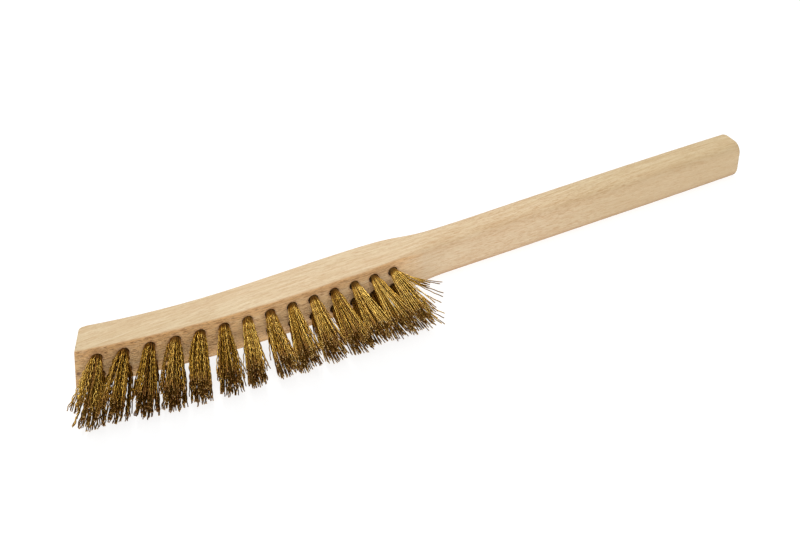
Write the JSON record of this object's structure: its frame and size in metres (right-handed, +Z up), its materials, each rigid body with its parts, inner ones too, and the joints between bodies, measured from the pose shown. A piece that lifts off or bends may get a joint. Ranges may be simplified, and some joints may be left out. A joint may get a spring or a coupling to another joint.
{
  "type": "wire brush",
  "caption": "Narrow hand wire brush: a slim curved beech stick with a rounded handle and rows of crimped brass wire tufts on the head, lying on its side.",
  "frame": {"origin": "centre of the underside of the bounding box, in the plane of the flat side that the brush lies on", "axes": "+X along the stick from the head tip to the handle end, -Y the way the bristles point, +Z up, across the width of the stick"},
  "size_m": [0.2988, 0.0497, 0.0168],
  "materials": {
    "beech": "raw sanded beech, unvarnished",
    "brass_wire": "crimped drawn brass wire, lightly tarnished",
    "anchor_steel": "galvanised flat wire"
  },
  "bodies": {
    "root": {"wooden_body": "beech", "tuft_a01": "brass_wire", "tuft_a02": "brass_wire", "tuft_a03": "brass_wire", "tuft_a04": "brass_wire", "tuft_a05": "brass_wire", "tuft_a06": "brass_wire", "tuft_a07": "brass_wire", "tuft_a08": "brass_wire", "tuft_a09": "brass_wire", "tuft_a10": "brass_wire", "tuft_a11": "brass_wire", "tuft_a12": "brass_wire", "tuft_a13": "brass_wire", "tuft_a14": "brass_wire", "tuft_b01": "brass_wire", "tuft_b02": "brass_wire", "tuft_b03": "brass_wire", "tuft_b04": "brass_wire", "tuft_b05": "brass_wire", "tuft_b06": "brass_wire", "tuft_b07": "brass_wire", "tuft_b08": "brass_wire", "tuft_b09": "brass_wire", "tuft_b10": "brass_wire", "tuft_b11": "brass_wire", "tuft_b12": "brass_wire", "tuft_b13": "brass_wire", "tuft_b14": "brass_wire", "anchor_a01": "anchor_steel", "anchor_a02": "anchor_steel", "anchor_a03": "anchor_steel", "anchor_a04": "anchor_steel", "anchor_a05": "anchor_steel", "anchor_a06": "anchor_steel", "anchor_a07": "anchor_steel", "anchor_a08": "anchor_steel", "anchor_a09": "anchor_steel", "anchor_a10": "anchor_steel", "anchor_a11": "anchor_steel", "anchor_a12": "anchor_steel", "anchor_a13": "anchor_steel", "anchor_a14": "anchor_steel", "anchor_b01": "anchor_steel", "anchor_b02": "anchor_steel", "anchor_b03": "anchor_steel", "anchor_b04": "anchor_steel", "anchor_b05": "anchor_steel", "anchor_b06": "anchor_steel", "anchor_b07": "anchor_steel", "anchor_b08": "anchor_steel", "anchor_b09": "anchor_steel", "anchor_b10": "anchor_steel", "anchor_b11": "anchor_steel", "anchor_b12": "anchor_steel", "anchor_b13": "anchor_steel", "anchor_b14": "anchor_steel"}
  },
  "joints": []
}
